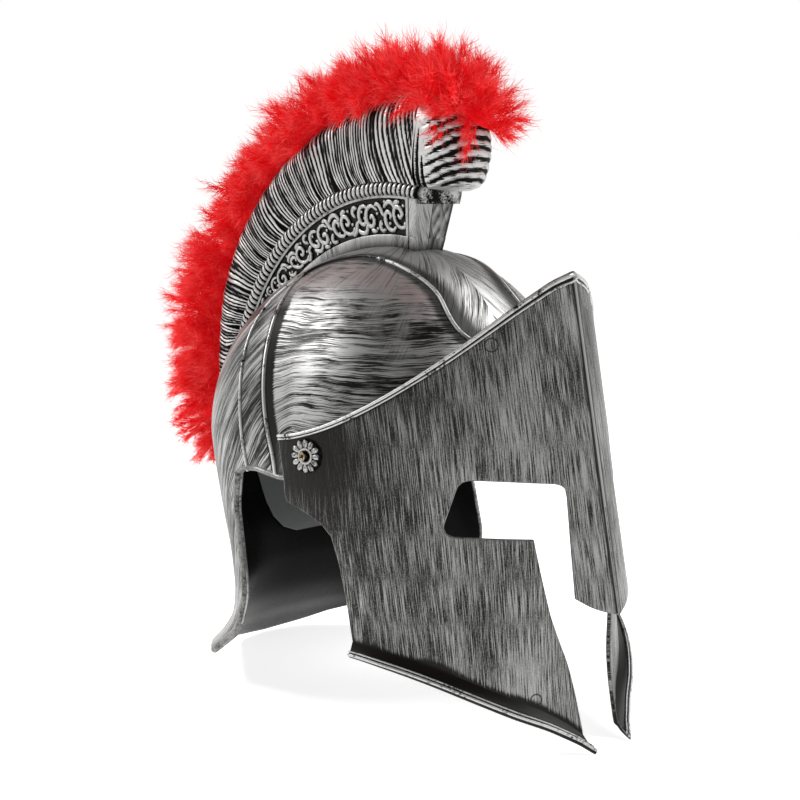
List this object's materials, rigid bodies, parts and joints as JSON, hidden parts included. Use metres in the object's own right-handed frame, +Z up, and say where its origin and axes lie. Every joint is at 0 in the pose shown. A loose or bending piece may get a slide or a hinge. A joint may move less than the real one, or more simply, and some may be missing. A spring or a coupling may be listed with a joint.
{
  "type": "gladiator helmet",
  "caption": "Gladiator helmet with a keeled, pivoting face plate, flared neck guard and a tall arched crest edged with red feather.",
  "frame": {"origin": "centre of the bounding box on the surface the helmet stands on", "axes": "+Z up, the face looks along -Y, +X is the wearer's left"},
  "size_m": [0.2062, 0.3746, 0.3678],
  "materials": {
    "shell_silver": "silver brushed over black",
    "visor_silver": "silver dry-brushed over black",
    "crest_silver": "silver rubbed over black relief",
    "red_feather": "fluffy down",
    "rosette_silver": "antiqued silver",
    "brass_eyelet": "polished",
    "blank_label": "plain grey film"
  },
  "bodies": {
    "helmet": {"skull_shell": "shell_silver", "crest_plinth": "crest_silver", "crest_mane": "crest_silver", "plume": "red_feather", "rivet_left": "brass_eyelet", "rivet_right": "brass_eyelet", "inner_label": "blank_label"},
    "face_plate": {"visor": "visor_silver", "rosette_left": "rosette_silver", "rosette_right": "rosette_silver"}
  },
  "joints": [
    {"name": "visor_pivot", "type": "hinge", "parent": "helmet", "child": "face_plate", "pos_m": [0, -0.058, 0.1502], "axis": [-1, 0, 0], "range_deg": [0, 20]}
  ]
}
